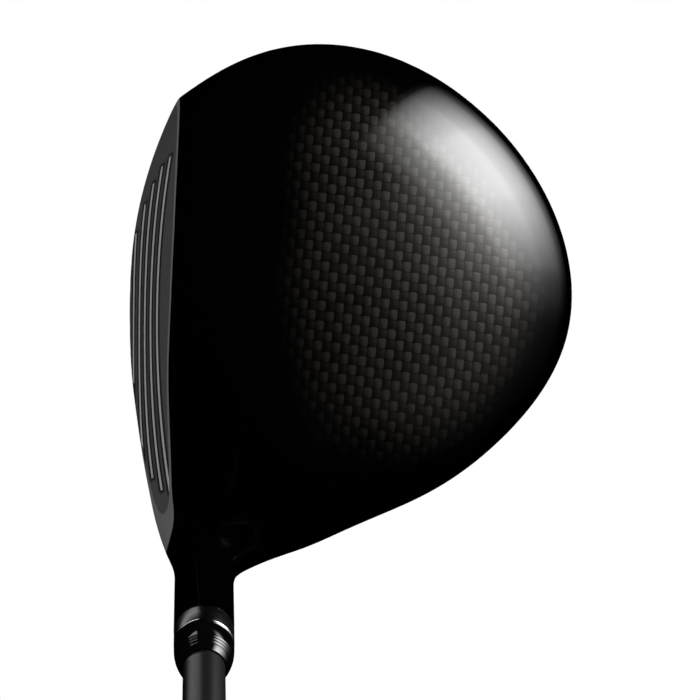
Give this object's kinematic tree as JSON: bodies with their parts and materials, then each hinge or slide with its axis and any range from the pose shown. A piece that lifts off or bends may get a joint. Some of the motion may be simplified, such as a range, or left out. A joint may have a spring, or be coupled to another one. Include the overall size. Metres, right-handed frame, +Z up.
{
  "type": "golf driver",
  "caption": "Right-handed golf driver with a carbon crown, loft-adjustable hosel sleeve, tapered shaft and rubber grip, standing at address on its sole.",
  "frame": {"origin": "middle of the small flat on the keel of the sole, where the club touches the ground at address", "axes": "+Z up from the ground, -Y the way the face points, +X towards the golfer: the shaft leans from the heel up and out to +X at the lie angle"},
  "size_m": [0.7039, 0.1072, 0.9918],
  "materials": {
    "gloss_paint": "gloss",
    "face_finish": "matte",
    "carbon_clear_coat": "gloss",
    "adhesive": "matte",
    "satin_metal": "satin",
    "polished_metal": "polished",
    "ferrule_plastic": "gloss",
    "shaft_finish": "satin",
    "plug_plastic": "matte",
    "tape": "matte",
    "grip_rubber": "matte",
    "cap_rubber": "satin",
    "screw_steel": "satin",
    "seal_rubber": "matte"
  },
  "bodies": {
    "head": {"head_body": "gloss_paint", "face_plate": "face_finish", "crown_panel": "carbon_clear_coat", "crown_bond": "adhesive", "damping_patch": "adhesive"},
    "ring": {"adapter_ring": "satin_metal"},
    "shaft_assembly": {"adapter_sleeve": "polished_metal", "shaft_bond": "adhesive", "ferrule": "ferrule_plastic", "shaft": "shaft_finish", "tip_plug": "plug_plastic", "grip_tape": "tape", "grip": "grip_rubber", "grip_cap": "cap_rubber"},
    "screw_washer": {"hosel_screw_washer": "screw_steel", "hosel_screw_retainer": "seal_rubber"},
    "screw": {"hosel_screw": "screw_steel"},
    "weight_seal": {"rear_weight_seal": "seal_rubber"},
    "weight": {"rear_weight": "screw_steel"}
  },
  "joints": [
    {"name": "adapter_lift", "type": "slide", "parent": "head", "child": "ring", "axis": [0.515, 0, 0.8572], "range_m": [0, 0.042]},
    {"name": "sleeve_index", "type": "hinge", "parent": "ring", "child": "shaft_assembly", "pos_m": [0.08078, -0.0243, 0.07003], "axis": [0.515, 0, 0.8572], "continuous": true},
    {"name": "screw_travel", "type": "slide", "parent": "head", "child": "screw_washer", "axis": [-0.515, 0, -0.8572], "range_m": [0, 0.0116]},
    {"name": "screw_turn", "type": "hinge", "parent": "screw_washer", "child": "screw", "pos_m": [0.05827, -0.0243, 0.03257], "axis": [-0.515, 0, -0.8572], "range_deg": [0, 5225]},
    {"name": "weight_travel", "type": "slide", "parent": "head", "child": "weight_seal", "axis": [0, 0.454, -0.891], "range_m": [0, 0.0055]},
    {"name": "weight_turn", "type": "hinge", "parent": "weight_seal", "child": "weight", "pos_m": [0.002, 0.044, 0.0096], "axis": [0, 0.454, -0.891], "range_deg": [0, 1985]}
  ],
  "couplings": [
    {"joint": "screw_turn", "follows": "screw_travel", "rad_per_m": 7854},
    {"joint": "weight_turn", "follows": "weight_travel", "rad_per_m": 6283.2}
  ]
}
